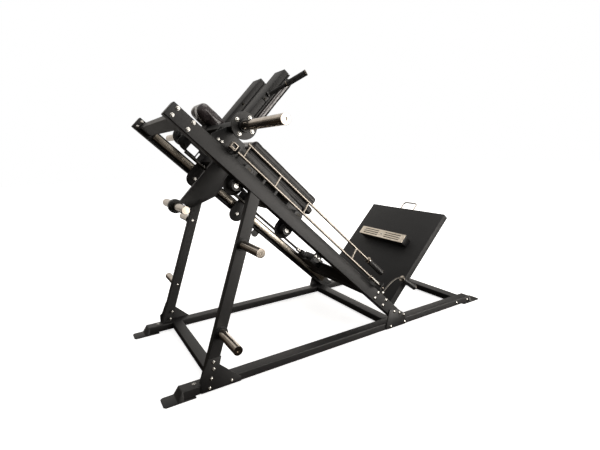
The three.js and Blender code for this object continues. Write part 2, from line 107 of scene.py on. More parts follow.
def light_the_studio():
    """White room: bright above, warm grey round the horizon and warm dark below."""
    world = bpy.data.worlds.new("studio")
    scene.world = world
    world.use_nodes = True
    tree = world.node_tree
    tree.nodes.clear()
    where = add_node(tree, "ShaderNodeTexCoord")
    split = add_node(tree, "ShaderNodeSeparateXYZ", {0: where.outputs["Generated"]})
    height = add_node(
        tree, "ShaderNodeMath", {0: split.outputs["Z"], 1: 0.5, 2: 0.5}, operation="MULTIPLY_ADD"
    )
    ramp = add_node(tree, "ShaderNodeValToRGB", {0: height.outputs[0]})
    stops = ((0.0, "241f1a"), (0.42, "453c33"), (0.5, "857a6e"), (0.6, "c9c2b8"), (1.0, "ffffff"))
    while len(ramp.color_ramp.elements) < len(stops):
        ramp.color_ramp.elements.new(0.5)
    for element, (position, colour) in zip(ramp.color_ramp.elements, stops):
        element.position = position
        element.color = linear(colour)
    room = add_node(tree, "ShaderNodeBackground", {0: ramp.outputs[0], 1: 0.42})
    white = add_node(tree, "ShaderNodeBackground", {0: linear("ffffff"), 1: 1.0})
    path = add_node(tree, "ShaderNodeLightPath")
    mix = add_node(
        tree,
        "ShaderNodeMixShader",
        {0: path.outputs["Is Camera Ray"], 1: room.outputs[0], 2: white.outputs[0]},
    )
    add_node(tree, "ShaderNodeOutputWorld", {0: mix.outputs[0]})
    scene.view_settings.view_transform = "Standard"

    softboxes = (
        ("key", (1.7, -4.3, 1.4), (0.0, 0.0, 0.7), 3.4, 150),
        ("low", (2.6, -3.0, 0.5), (0.6, 0.0, 0.1), 1.8, 75),
        ("overhead", (0.4, -0.4, 4.6), (0.0, 0.0, 0.0), 3.4, 60),
        ("back", (0.6, 5.2, 2.6), (0.0, 0.0, 0.8), 7.0, 85),
        ("back_low", (3.6, 4.2, 1.0), (0.5, 0.0, 0.2), 3.5, 45),
    )
    for name, place, target, size, watts in softboxes:
        lamp = bpy.data.lights.new(name, "AREA")
        lamp.shape = "SQUARE"
        lamp.size = size
        lamp.energy = watts
        lamp.color = (1.0, 0.955, 0.9)
        holder = bpy.data.objects.new(name, lamp)
        scene.collection.objects.link(holder)
        aim = (Vector(target) - Vector(place)).to_track_quat("-Z", "Y")
        holder.matrix_world = Matrix.Translation(place) @ aim.to_matrix().to_4x4()


light_the_studio()


# ------------------------------------------------------------------ materials
def surface(name):
    """A new material: its node tree, its shader and its object coordinates."""
    material = bpy.data.materials.new(name)
    material.use_nodes = True
    tree = material.node_tree
    shader = tree.nodes["Principled BSDF"]
    where = add_node(tree, "ShaderNodeTexCoord").outputs["Object"]
    return material, tree, shader, where


def grain(tree, where, size_mm, detail=2.0, distortion=0.0, stretch=None):
    """Noise whose lumps are about size_mm across, stretched along an axis if asked."""
    if stretch:
        where = add_node(tree, "ShaderNodeMapping", {0: where, "Scale": stretch}).outputs[0]
    settings = {"Vector": where, "Scale": 1 / (size_mm * MM), "Detail": detail}
    settings["Distortion"] = distortion
    return add_node(tree, "ShaderNodeTexNoise", settings).outputs["Fac"]


def between(tree, factor, low, high, contrast=(0.3, 0.7)):
    """A number that goes from low to high as the noise goes across its usual range."""
    sockets = {0: factor, 1: contrast[0], 2: contrast[1], 3: low, 4: high}
    return add_node(tree, "ShaderNodeMapRange", sockets).outputs[0]


def tint(tree, factor, first, second):
    """A colour between two hex values."""
    mix = add_node(tree, "ShaderNodeMix", {"Factor": factor}, data_type="RGBA")
    mix.inputs["A"].default_value = linear(first)
    mix.inputs["B"].default_value = linear(second)
    return mix.outputs["Result"]


def raise_by(tree, height, depth_mm, strength=1.0, under=None):
    """Bump of that depth, on top of another bump if there is one."""
    sockets = {"Height": height, "Distance": depth_mm * MM, "Strength": strength}
    if under:
        sockets["Normal"] = under
    return add_node(tree, "ShaderNodeBump", sockets).outputs["Normal"]


def wire(tree, shader, **sockets):
    """Links or sets the shader's sockets; an underscore stands for a space."""
    for name, value in sockets.items():
        socket = shader.inputs[name.replace("_", " ")]
        if isinstance(value, bpy.types.NodeSocket):
            tree.links.new(value, socket)
        else:
            socket.default_value = value


def powder_coat(name, dark, light, rough=(0.4, 0.56)):
    """Fine-textured black polyester powder: a satin film with an orange-peel grit."""
    material, tree, shader, where = surface(name)
    handling = grain(tree, where, 160, detail=4)
    grit = grain(tree, where, 2.4, detail=1)  # the real grit is 0.5 mm, drawn coarser to show
    peel = grain(tree, where, 9)
    bump = raise_by(tree, peel, 0.25, 0.5)
    bump = raise_by(tree, grit, 0.16, 0.8, bump)
    wire(
        tree,
        shader,
        Base_Color=tint(tree, between(tree, handling, 0, 1), dark, light),
        Roughness=between(tree, grit, *rough),
        Normal=bump,
    )
    return material


def plated(name, first, second, rough, smudge_mm=45, polish=0.05):
    """Plated steel: mirror-like, with faint smudges where hands and rags have been."""
    material, tree, shader, where = surface(name)
    smudge = grain(tree, where, smudge_mm, detail=5, distortion=0.6)
    ripple = grain(tree, where, 14)
    wire(
        tree,
        shader,
        Base_Color=tint(tree, between(tree, smudge, 0, 1), first, second),
        Metallic=1.0,
        Roughness=between(tree, smudge, rough, rough + polish),
        Normal=raise_by(tree, ripple, 0.06, 0.4),
    )
    return material


def ground_steel():
    """Cold-drawn flat bar, ground along its length and wiped with oil."""
    material, tree, shader, where = surface("ground_bare_steel")
    turn = add_node(tree, "ShaderNodeMapping", {0: where, "Rotation": (0, -SLOPE, 0)}).outputs[0]
    lines = grain(tree, turn, 1.6, detail=3, stretch=(0.02, 1, 1))
    stain = grain(tree, where, 90, detail=5)
    wire(
        tree,
        shader,
        Base_Color=tint(tree, between(tree, stain, 0, 1), "8d857a", "c9c1b3"),
        Metallic=1.0,
        Roughness=between(tree, lines, 0.24, 0.42),
        Normal=raise_by(tree, lines, 0.08, 0.6),
    )
    return material


def vinyl(name, dark, light, film=0.0):
    """Expanded PVC upholstery with a pebbled leather grain, some of it still in clear film."""
    material, tree, shader, where = surface(name)
    cells = add_node(tree, "ShaderNodeTexVoronoi", {"Vector": where, "Scale": 1 / (2.6 * MM)})
    cells.feature = "SMOOTH_F1"
    rubbed = grain(tree, where, 70, detail=4)
    bump = raise_by(tree, cells.outputs["Distance"], 0.14, 0.5)
    bump = raise_by(tree, grain(tree, where, 60, detail=2), 1.2, 0.4, bump)
    wire(
        tree,
        shader,
        Base_Color=tint(tree, between(tree, rubbed, 0, 1), dark, light),
        Roughness=between(tree, rubbed, 0.48, 0.62),
        Normal=bump,
    )
    if film:
        creases = add_node(
            tree,
            "ShaderNodeTexNoise",
            {"Vector": where, "Scale": 1 / (46 * MM), "Detail": 6.0, "Distortion": 1.6},
            noise_type="RIDGED_MULTIFRACTAL",
        )
        wire(tree, shader, Coat_Weight=film, Coat_Roughness=0.22)
        wire(tree, shader, Coat_Normal=raise_by(tree, creases.outputs["Fac"], 1.6, 0.5))
    return material


def film_on_foam():
    """Crinkled polythene film pulled over the end of a cushion: greyish, its fold ridges lightened
    near-white in the colour, partly the film's milky haze and partly painted glints.
    """
    material, tree, shader, where = surface("crinkled_polythene_film")
    folds = add_node(
        tree,
        "ShaderNodeTexNoise",
        {"Vector": where, "Scale": 1 / (20 * MM), "Detail": 4.0, "Distortion": 1.6},
        noise_type="RIDGED_MULTIFRACTAL",
    ).outputs["Fac"]
    # painted glints: the fold ridges turn near-white in the base colour, on top of the film's real
    # milky haze
    haze_and_painted_glints = between(tree, folds, 0.0, 1.0, contrast=(0.5, 1.5))
    wire(
        tree,
        shader,
        Base_Color=tint(tree, haze_and_painted_glints, "3a3436", "cbbcbd"),
        Roughness=0.26,
        Coat_Weight=0.8,
        Coat_Roughness=0.08,
        Normal=raise_by(tree, folds, 4.0, 1.0),
    )
    return material


def rubber(name, rough):
    """Moulded black rubber with a bloom of grey where it has been held."""
    material, tree, shader, where = surface(name)
    bloom = grain(tree, where, 22, detail=4)
    wire(
        tree,
        shader,
        Base_Color=tint(tree, between(tree, bloom, 0, 1), "131313", "242424"),
        Roughness=between(tree, bloom, rough, rough + 0.16),
        Normal=raise_by(tree, grain(tree, where, 1.8), 0.2, 0.8),
    )
    return material


def nylon():
    """Turned cast nylon: black and waxy, with fine rings left by the lathe tool."""
    material, tree, shader, where = surface("turned_cast_nylon")
    rings = grain(tree, where, 3.0, stretch=(0.2, 1, 0.2))
    wire(
        tree,
        shader,
        Base_Color=tint(tree, between(tree, rings, 0, 1), "161616", "2a2a2b"),
        Roughness=between(tree, rings, 0.34, 0.5),
        Normal=raise_by(tree, rings, 0.15, 0.6),
    )
    return material


def polythene_plastic():
    """Injection-moulded black polythene end cap: slightly greasy sheen."""
    material, tree, shader, where = surface("moulded_polythene")
    skin = grain(tree, where, 5)
    wire(
        tree,
        shader,
        Base_Color=tint(tree, between(tree, skin, 0, 1), "141414", "1d1d1d"),
        Roughness=between(tree, skin, 0.36, 0.46),
        Normal=raise_by(tree, skin, 0.1, 0.5),
    )
    return material


def floor_paint():
    """Matt white studio floor, lit from below so that it runs out into the white room."""
    material, tree, shader, where = surface("matt_white_floor_paint")
    mottle = grain(tree, where, 400, detail=3)
    reach = add_node(tree, "ShaderNodeVectorMath", {0: where}, operation="LENGTH")
    glow = between(tree, reach.outputs["Value"], 0.72, 1.0, contrast=(1.3, 2.6))
    wire(
        tree,
        shader,
        Base_Color=tint(tree, between(tree, mottle, 0, 1), "fbfbfb", "ffffff"),
        Roughness=0.9,
        Specular_IOR_Level=0.1,
        Emission_Color=linear("ffffff"),
        Emission_Strength=glow,
    )
    return material


COAT = powder_coat("black_texture_powder_coat", "131314", "1e1d1d")
PLATFORM_COAT = powder_coat("platform_texture_powder_coat", "121213", "1b1b1c", (0.58, 0.78))
POST_COAT = powder_coat("smooth_black_powder_coat", "101011", "191819", (0.5, 0.62))
CHROME = plated("bright_chrome_plate", "a59b8f", "cac1b6", 0.12)
ROD_CHROME = plated("dull_chrome_rod", "8d867d", "b5ada3", 0.36)
DARK_ROD = plated("dark_steel_rod", "3f3d3a", "5a5753", 0.34)
BLACK_ROD = plated("blackened_steel_rod", "242321", "3d3b38", 0.3)
ZINC = plated("bright_zinc_plate", "b9b8b4", "dddbd6", 0.2, smudge_mm=9)
TREAD_METAL = plated("brushed_aluminium", "d8cbb9", "efe6d8", 0.34, smudge_mm=24, polish=0.12)
STEEL = ground_steel()
VINYL = vinyl("black_pvc_vinyl", "101011", "1b1a1b")
FILMED_VINYL = vinyl("filmed_pvc_vinyl", "0e0d0e", "171616", film=0.12)
FILM = film_on_foam()
RUBBER = rubber("moulded_rubber", 0.62)
GRIP_RUBBER = rubber("polished_grip_rubber", 0.36)
NYLON = nylon()
PLASTIC = polythene_plastic()


# ------------------------------------------------------------------ workshop helpers
def activate(*pieces):
    bpy.ops.object.select_all(action="DESELECT")
    for piece in pieces:
        piece.select_set(True)
    bpy.context.view_layer.objects.active = pieces[0]


def settle(piece):
    """Puts the piece's place, turn and scale into its mesh."""
    activate(piece)
    bpy.ops.object.transform_apply(location=True, rotation=True, scale=True)
    return piece


def tip_onto_slope(piece):
    """Tips a piece made level, with x running down the rails, onto the rails' slope."""
    settle(piece)
    piece.rotation_euler = (0, SLOPE, 0)
    piece.location = RAIL_FOOT
    return settle(piece)


def finish(piece, name, body, material, angle=35, slope=True, stands_for=()):
    """Names the piece, gives it its finish and hangs it on its body."""
    if slope:
        tip_onto_slope(piece)
    else:
        settle(piece)
    piece.name = piece.data.name = name
    if material:
        piece.data.materials.clear()
        piece.data.materials.append(material)
    if angle:
        activate(piece)
        bpy.ops.object.shade_smooth_by_angle(angle=math.radians(angle))
    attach(piece, body)
    if stands_for:
        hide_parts(*stands_for)
    return piece


def edit_all(piece):
    activate(piece)
    bpy.ops.object.mode_set(mode="EDIT")
    bpy.ops.mesh.select_all(action="SELECT")


def leave_edit():
    bpy.ops.object.mode_set(mode="OBJECT")


def add_modifier(piece, kind, **settings):
    activate(piece)
    modifier = piece.modifiers.new(kind.lower(), kind)
    for key, value in settings.items():
        setattr(modifier, key, value)
    return modifier


def apply_modifier(piece, kind, **settings):
    modifier = add_modifier(piece, kind, **settings)
    bpy.ops.object.modifier_apply(modifier=modifier.name)


def recalculate(piece):
    edit_all(piece)
    bpy.ops.mesh.remove_doubles(threshold=1e-6)
    bpy.ops.mesh.normals_make_consistent(inside=False)
    leave_edit()


def joined(pieces):
    activate(*pieces)
    if len(pieces) > 1:
        bpy.ops.object.join()
    return bpy.context.view_layer.objects.active


def duplicate(piece):
    copy = piece.copy()
    copy.data = piece.data.copy()
    scene.collection.objects.link(copy)
    return copy


def discard(piece):
    bpy.data.objects.remove(piece, do_unlink=True)


def block(x, y, z, edge=1.5, segments=2):
    """Block between pairs of x, y and z, with rounded edges."""
    spans = [sorted(pair) for pair in (x, y, z)]
    centre = [sum(pair) / 2 * MM for pair in spans]
    bpy.ops.object.select_all(action="DESELECT")
    bpy.ops.mesh.primitive_cube_add(size=1, location=centre)
    piece = bpy.context.object
    piece.scale = [(high - low) * MM for low, high in spans]
    settle(piece)
    if edge:
        edit_all(piece)
        bpy.ops.mesh.bevel(offset=edge * MM, segments=segments, affect="EDGES")
        leave_edit()
    return piece


def turned(profile, foot, way, sides=32):
    """Part turned on a lathe: profile holds (distance along the axis, radius) pairs."""
    distance, radius = profile[0]
    bpy.ops.object.select_all(action="DESELECT")
    bpy.ops.mesh.primitive_circle_add(
        vertices=sides, radius=radius * MM, fill_type="NGON", location=(0, 0, distance * MM)
    )
    piece = bpy.context.object
    settle(piece)
    edit_all(piece)
    for next_distance, next_radius in profile[1:]:
        step = (next_distance - distance) * MM
        bpy.ops.mesh.extrude_region_move(TRANSFORM_OT_translate={"value": (0, 0, step)})
        scale = next_radius / radius
        bpy.ops.transform.resize(value=(scale, scale, 1))
        distance, radius = next_distance, next_radius
    bpy.ops.mesh.select_all(action="SELECT")
    bpy.ops.mesh.normals_make_consistent(inside=False)
    leave_edit()
    return stand(piece, foot, way)


def stand(piece, foot, way):
    """Moves a part made upright at the origin to its foot, pointing its way."""
    piece.rotation_euler = Vector(way).to_track_quat("Z", "Y").to_euler()
    piece.location = Vector(foot) * MM
    return settle(piece)


def round_bar(start, end, radius, edge=1.0, sides=32):
    """Round bar between two points with chamfered ends."""
    way = Vector(end) - Vector(start)
    length = way.length
    profile = [(0, radius - edge), (edge, radius), (length - edge, radius), (length, radius - edge)]
    return turned(profile, start, way, sides)


def bent_rod(points, radius, resolution=10):
    """Rod bent through points, with closed ends."""
    curve = bpy.data.curves.new("rod", "CURVE")
    curve.dimensions = "3D"
    curve.bevel_depth = radius * MM
    curve.bevel_resolution = 5
    curve.use_fill_caps = True
    curve.resolution_u = resolution
    spline = curve.splines.new("BEZIER")
    spline.bezier_points.add(len(points) - 1)
    for knot, point in zip(spline.bezier_points, points):
        knot.co = Vector(point) * MM
        knot.handle_left_type = knot.handle_right_type = "AUTO"
    piece = bpy.data.objects.new("rod", curve)
    scene.collection.objects.link(piece)
    activate(piece)
    bpy.ops.object.convert(target="MESH")
    piece = bpy.context.object
    recalculate(piece)
    return piece


def plate(outline, y0, y1, edge=1.0):
    """Flat plate cut to an outline of (x, z) pairs, standing between y0 and y1."""
    low, high = sorted((y0, y1))
    bpy.ops.object.select_all(action="DESELECT")
    bpy.ops.mesh.primitive_circle_add(vertices=len(outline), radius=1, fill_type="NGON")
    piece = bpy.context.object
    for corner, (x, z) in zip(piece.data.vertices, outline):
        corner.co = Vector((x, low, z)) * MM
    edit_all(piece)
    bpy.ops.mesh.extrude_region_move(TRANSFORM_OT_translate={"value": (0, (high - low) * MM, 0)})
    bpy.ops.mesh.select_all(action="SELECT")
    bpy.ops.mesh.normals_make_consistent(inside=False)
    leave_edit()
    if edge:
        apply_modifier(piece, "BEVEL", width=edge * MM, segments=2, limit_method="ANGLE")
    return piece


def dressed(node, body, material, edge=0.0, name=None, angle=35):
    """A CAD solid with its doubles merged, its flats made whole and its edges eased."""
    piece = duplicate(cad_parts[node])
    piece.parent = None
    for key in list(piece.keys()):
        del piece[key]
    edit_all(piece)
    bpy.ops.mesh.remove_doubles(threshold=1e-5)
    bpy.ops.mesh.dissolve_limited(angle_limit=math.radians(0.5))
    leave_edit()
    if edge:
        apply_modifier(
            piece,
            "BEVEL",
            width=edge * MM,
            segments=2,
            limit_method="ANGLE",
            angle_limit=math.radians(40),
        )
    name = name or node + "_finished"
    return finish(piece, name, body, material, angle, slope=False, stands_for=[node])


# ------------------------------------------------------------------ fasteners, modelled once
def button_bolt():
    """Button-head screw on a washer, with a hexagon socket."""
    head = turned(
        [(0, 11), (1.8, 11), (2.0, 10.6), (2.0, 8.6), (3.6, 8.4), (5.4, 6.8), (6.2, 4.6)],
        (0, 0, 0),
        (0, 0, 1),
        24,
    )
    bpy.ops.object.select_all(action="DESELECT")
    bpy.ops.mesh.primitive_cylinder_add(
        vertices=6, radius=3.4 * MM, depth=6 * MM, location=(0, 0, 6.2 * MM)
    )
    key = bpy.context.object
    apply_modifier(head, "BOOLEAN", object=key, operation="DIFFERENCE", solver="EXACT")
    discard(key)
    return head


def hexagon_bolt():
    """Hexagon head on a washer, its corners turned off."""
    washer = turned([(0, 12), (2, 12), (2.2, 11.6)], (0, 0, 0), (0, 0, 1), 24)
    head = turned([(2.2, 9.0), (2.6, 9.6), (7.6, 9.6), (8.6, 8.2)], (0, 0, 0), (0, 0, 1), 6)
    stub = turned([(8.6, 5.0), (11.6, 5.0), (12.4, 4.2)], (0, 0, 0), (0, 0, 1), 16)
    return joined([washer, head, stub])


BUTTON = button_bolt()
HEXAGON = hexagon_bolt()


def fasten(name, model, body, places, material=None, slope=True, size=1.0):
    """One piece of several copies of a fastener at (point, way) places."""
    copies = []
    for point, way in places:
        copy = duplicate(model)
        copy.scale = (size, size, size)
        copies.append(stand(copy, point, way))
    return finish(joined(copies), name, body, material or ZINC, 30, slope)


# ------------------------------------------------------------------ floor
def lay_floor():
    bpy.ops.object.select_all(action="DESELECT")
    bpy.ops.mesh.primitive_plane_add(size=40, location=(0, 0, -0.0005))
    floor = bpy.context.object
    floor.name = "floor"
    floor.data.materials.append(floor_paint())
    floor.visible_diffuse = floor.visible_glossy = False


lay_floor()


# ------------------------------------------------------------------ base frame and rails
def build_frame():
    for node in ("rear_cross_tube", "middle_cross_tube", "front_cross_tube", "top_cross_tube"):
        dressed(node, "frame", COAT)
    dressed("lower_deck", "frame", COAT, edge=1.2)
    for label, side in SIDES:
        for node in ("base_rail", "upright", "rail"):
            dressed(f"{node}_{label}", "frame", COAT)
        for node in ("foot_rear", "foot_front", "rail_gusset", "upright_gusset"):
            dressed(f"{node}_{label}", "frame", COAT, edge=1.6)
        dressed(f"rail_track_{label}", "frame", STEEL, edge=2.0)

        cap = block((-2117.5, -2107), (side * 442, side * 498), (2, 78), edge=2)
        finish(cap, f"rail_end_cap_{label}", "frame", PLASTIC)

        outer = side * RAIL_OUTER_Y
        way = (0, side, 0)
        rail_bolts = [
            ((-s, outer, h), way) for s in (2084, 1986, 352, 255) for h in (22.6, 65.7)
        ]
        rail_bolts += [((-2091, side * RAIL_INNER_Y, h), (0, -side, 0)) for h in (20, 62)]
        fasten(f"rail_bolts_{label}", BUTTON, "frame", rail_bolts)
        plate_bolts = [
            ((x, side * 506.3, z), way)
            for x, z in ((-984, 129), (-1001, 78), (-1015, 27), (-888, 28), (-982, 168))
        ]
        plate_bolts += [
            ((x, side * 508.3, z), way)
            for x, z in ((327.5, 126), (376, 106), (418, 82), (296, 23), (426, 26))
        ]
        plate_bolts += [((x, outer, z), way) for x, z in ((996, 29), (1122, 26))]
        plate_bolts += [((-1086, side * 462, 54), (0, 0, 1))]
        fasten(f"gusset_bolts_{label}", BUTTON, "frame", plate_bolts, slope=False)
        inner_nuts = [((x, side * 439.7, z), (0, -side, 0)) for x, z in ((-984, 129), (-1001, 78))]
        fasten(f"upright_nuts_{label}", HEXAGON, "frame", inner_nuts, slope=False, size=0.8)
        lug_bolts = [((-s, side * 470.3, -27), way) for s in (893, 922)]
        fasten(f"rail_lug_bolts_{label}", HEXAGON, "frame", lug_bolts, size=0.8)


build_frame()


def build_storage_peg(level, x, z, label, side):
    """Chrome peg screwed to its upright through a black flange."""
    start = side * 500.3
    way = (0, side, 0)
    flange = turned(
        [(0, 36), (6, 36), (7.5, 34), (7.5, 30), (14, 29.2), (14, 25.4)], (x, start, z), way, 40
    )
    name = f"peg_flange_{level}_{label}"
    finish(flange, name, "frame", COAT, slope=False)
    tube = turned(
        [
            (8, 24.9),
            (231, 25),
            (238.5, 25),
            (240, 23.5),
            (240, 7),
            (236, 6.4),
        ],
        (x, start, z),
        way,
        48,
    )
    finish(
        tube,
        f"peg_tube_{level}_{label}",
        "frame",
        CHROME,
        slope=False,
        stands_for=[f"storage_peg_{level}_{label}"],
    )
    fasten(
        f"peg_root_bolt_{level}_{label}",
        HEXAGON,
        "frame",
        [((x, side * 460, z), (0, -side, 0))],
        slope=False,
        size=0.8,
    )


for label, side in SIDES:
    build_storage_peg("lower", -923, 319, label, side)
    build_storage_peg("upper", -770, 788, label, side)


# ------------------------------------------------------------------ sled steelwork
def build_sled_steel():
    dressed("sled_frame", "sled", COAT, edge=2.0)
    dressed("catch_plate", "sled", COAT, edge=1.2)
    catch_bolts = [((-s, -436.2, h), (0, -1, 0)) for s, h in ((1829, 107), (1806, 110))]
    fasten("catch_plate_bolts", HEXAGON, "sled", catch_bolts, size=0.7)
    for label, side in SIDES:
        dressed(f"sled_plate_{label}", "sled", COAT, edge=1.2)
        dressed(f"shoulder_post_{label}", "sled", POST_COAT, edge=1.5)

        root = side * 590
        way = (0, side, 0)
        disc = turned(
            [(0, 68.5), (1.5, 70), (6.5, 70), (8, 68.5), (8, 36), (9, 33), (22, 33), (24, 31)],
            (HORN_X, root, HORN_H),
            way,
            64,
        )
        name = f"horn_flange_{label}"
        finish(disc, name + "_turned", "sled", COAT, stands_for=[name])
        angles = [math.radians(5 + 90 * i) for i in range(4)]
        places = [
            ((HORN_X + 49 * math.cos(a), root + side * 8, HORN_H + 49 * math.sin(a)), way)
            for a in angles
        ]
        fasten(f"horn_flange_bolts_{label}", BUTTON, "sled", places)

        tube = turned(
            [
                (0, 24.9),
                (404, 25),
                (412, 25),
                (413.5, 23.5),
                (413.5, 8),
                (408, 7.4),
            ],
            (HORN_X, side * 614.3, HORN_H),
            way,
            48,
        )
        name = f"weight_sleeve_{label}"
        finish(tube, name + "_turned", "sled", CHROME, stands_for=[name])

    horn = turned(
        [(0, 22.5), (2.5, 25), (477.5, 25), (480, 22.5)], (LOW_HORN_X, -240, LOW_HORN_H), (0, 1, 0), 48
    )
    finish(horn, "lower_horn_turned", "sled", CHROME, stands_for=["lower_horn"])


build_sled_steel()


def build_rollers():
    """Grooved nylon rollers on bearings, bolted through the sled's side plates."""
    profile = [
        (0, 30),
        (2.5, 33.2),
        (5, 34),
        (18, 34),
        (20, 32.6),
        (26, 32.6),
        (28, 34),
        (41, 34),
        (43.5, 33.2),
        (46, 30),
        (46, 17),
        (43, 16),
        (43, 9),
    ]
    for label, side in SIDES:
        way = (0, side, 0)
        axles = []
        for level, s in ROLLER_LEVELS:
            for seat, h in ROLLER_SEATS:
                name = f"roller_{level}_{seat}_{label}"
                wheel = turned(profile, (-s, side * 388, h), way, 48)
                finish(wheel, name + "_turned", name, NYLON, stands_for=[name])
                bearing = turned(
                    [(0, 14), (2, 14.4), (2, 9), (4, 8.4), (4, 5)], (-s, side * 430.4, h), way
                )
                # painted shade: the over bearings are the same zinc-plated part as the under ones,
                # drawn in dark blackened steel to stand in for shade
                zinc_or_painted_shade_steel = ZINC if seat == "under" else BLACK_ROD
                finish(bearing, name + "_bearing", name, zinc_or_painted_shade_steel)
                axles.append(((-s, side * 372, h), (0, -side, 0)))
        fasten(f"roller_axle_nuts_{label}", HEXAGON, "sled", axles, size=1.2)


build_rollers()


# ------------------------------------------------------------------ cushions
def swell(piece, voxel, pressure, cap, frames=20):
    """Stretches the cover over its foam: cloth blown up from inside, each point held to a cap."""
    edit_all(piece)
    bpy.ops.mesh.remove_doubles(threshold=1e-6)
    leave_edit()
    apply_modifier(piece, "REMESH", mode="VOXEL", voxel_size=voxel * MM)
    start = [vertex.co.copy() for vertex in piece.data.vertices]
    cloth = add_modifier(piece, "CLOTH")
    cloth.settings.use_pressure = True
    cloth.settings.uniform_pressure_force = pressure
    cloth.settings.effector_weights.gravity = 0
    cloth.settings.quality = 4
    for step in range(1, frames + 1):
        scene.frame_set(step)
    activate(piece)
    bpy.ops.object.modifier_apply(modifier=cloth.name)
    scene.frame_set(1)
    for vertex, home in zip(piece.data.vertices, start):
        move = vertex.co - home
        if move.length > cap * MM:
            vertex.co = home + move * (cap * MM / move.length)
    apply_modifier(piece, "SMOOTH", factor=0.5, iterations=3)
    apply_modifier(piece, "SUBSURF", levels=1, render_levels=1)


def sew(piece, level, depth=1.8, width=4.5, axis=2):
    """Pulls the cover in along a seam that runs round the piece at one level of an axis."""
    mesh = piece.data
    for vertex in mesh.vertices:
        gap = abs(vertex.co[axis] - level * MM) / (width * MM)
        if gap < 1 and abs(vertex.normal[axis]) < 0.6:
            pull = vertex.normal.copy()
            pull[axis] = 0
            vertex.co -= pull * (depth * MM * (1 - gap * gap))


def foam(x, y, z, edge, inset):
    """Foam block a little smaller than the finished cushion."""
    spans = [sorted(pair) for pair in (x, y, z)]
    spans = [(low + inset, high - inset) for low, high in spans]
    return block(*spans, edge=edge, segments=4)


def film_ends(piece, test):
    """Gives the faces that the test picks the look of loose film."""
    piece.data.materials.append(FILM)
    for face in piece.data.polygons:
        if test(face.center / MM, face.normal):
            face.material_index = 1


def build_cushions():
    cushion = foam((-1580, -952), (-150, 150), (290, 356), 15, 5)
    swell(cushion, 5.0, 4.0, 6)
    sew(cushion, 316)
    cushion.data.materials.append(FILMED_VINYL)
    film_ends(cushion, lambda place, normal: place.x < -1560 and normal.z < 0.75)
    finish(cushion, "back_cushion", "sled", None, 60, stands_for=["back_pad"])

    base = foam((-1576, -928), (-150, 150), (225, 287), 20, 4)
    swell(base, 5.0, 3.0, 4)
    sew(base, 256)
    finish(base, "back_base_board", "sled", VINYL, 60, stands_for=["back_base"])

    head = foam((-1962, -1757), (-100, 100), (228.5, 322), 34, 5)
    swell(head, 4.0, 5.0, 7)
    head.data.materials.append(FILMED_VINYL)
    film_ends(head, lambda place, normal: place.x < -1870 or normal.y < -0.6)
    finish(head, "head_cushion", "sled", None, 60, stands_for=["head_pad"])

    for label, side in SIDES:
        pad = foam((-1690, -1640), (side * 101, side * 239), (376, 768), 13, 4)
        swell(pad, 5.0, 4.0, 6)
        sew(pad, -1672, axis=0)
        pad.data.materials.append(FILMED_VINYL)
        film_ends(pad, lambda place, normal: normal.y < -0.8 and place.x < -1655)
        name = f"shoulder_cushion_{label}"
        finish(pad, name, "sled", None, 60, stands_for=[f"shoulder_pad_{label}"])
        board = block((-1701.5, -1691), (side * 97, side * 243), (374, 770), edge=3)
        finish(board, f"shoulder_board_{label}", "sled", VINYL)


build_cushions()


# ------------------------------------------------------------------ shoulder handles
def build_shoulder_handle(label, side):
    """Raked tube welded to a foot plate, with a rubber grip between two chrome rings."""
    foot = Vector((-1722, side * 242.3, 567))
    tip = Vector((-1676, side * 410, 770))
    way = (tip - foot).normalized()
    reach = (tip - foot).length
    grip_at = reach - 131
    base = block((-1740, -1704), (side * 236.3, side * 242.3), (533, 601), edge=1.5)
    tube = turned([(9, 12.5), (grip_at, 12.5)], foot, way)
    weld = turned([(9, 18.5), (12, 16.5), (16, 13.6), (19, 12.4)], foot, way)
    frame_part = joined([base, tube, weld])
    name = f"shoulder_handle_{label}"
    finish(frame_part, name + "_tube", "sled", COAT, stands_for=[name])
    ribs = [(grip_at + 3, 15.5), (grip_at + 5, 18)]
    for i in range(14):
        at = grip_at + 9 + i * 8
        ribs += [(at, 18), (at + 2, 17.2), (at + 4, 17.2), (at + 6, 18)]
    ribs += [(reach - 3, 18), (reach - 1, 15.5)]
    finish(turned(ribs, foot, way), f"shoulder_grip_{label}", "sled", GRIP_RUBBER)
    rings = [
        turned(
            [(at, 15.5), (at + 1, 19), (at + width - 1, 19), (at + width, 15)], foot, way
        )
        for at, width in ((grip_at - 3, 8), (reach - 4, 7))
    ]
    finish(joined(rings), f"shoulder_grip_rings_{label}", "sled", CHROME)
    places = [((-1722, side * 242.3, h), (0, side, 0)) for h in (542, 592)]
    fasten(f"shoulder_handle_bolts_{label}", BUTTON, "sled", places, BLACK_ROD, size=0.7)
    inner = [((-1722, side * 104, 548), (0, -side, 0))]
    fasten(f"shoulder_post_bolts_{label}", HEXAGON, "sled", inner, BLACK_ROD, size=0.9)


for label, side in SIDES:
    build_shoulder_handle(label, side)


# ------------------------------------------------------------------ catch ladder and lever
def coil_spring(start, length, radius, wire_radius, turns):
    """Compression spring wound round the x axis, from start towards -x."""
    bpy.ops.object.select_all(action="DESELECT")
    bpy.ops.mesh.primitive_circle_add(
        vertices=8, radius=wire_radius * MM, rotation=(math.pi / 2, 0, 0), fill_type="NGON"
    )
    piece = bpy.context.object
    piece.location = (radius * MM, 0, 0)
    settle(piece)
    apply_modifier(
        piece,
        "SCREW",
        screw_offset=length * MM / turns,
        iterations=turns,
        steps=14,
        render_steps=14,
        axis="Z",
        use_merge_vertices=True,
    )
    recalculate(piece)
    return stand(piece, start, (-1, 0, 0))


def grip_sleeve(start, way, length, radius, rib=9):
    """Ribbed rubber sleeve pushed over a rod."""
    profile = [(0, radius - 2), (2, radius)]
    for i in range(int((length - 12) / rib)):
        at = 6 + i * rib
        profile += [(at, radius), (at + 2, radius - 0.9), (at + 4, radius - 0.9), (at + 6, radius)]
    profile += [(length - 2, radius), (length, radius - 2)]
    return turned(profile, start, way)


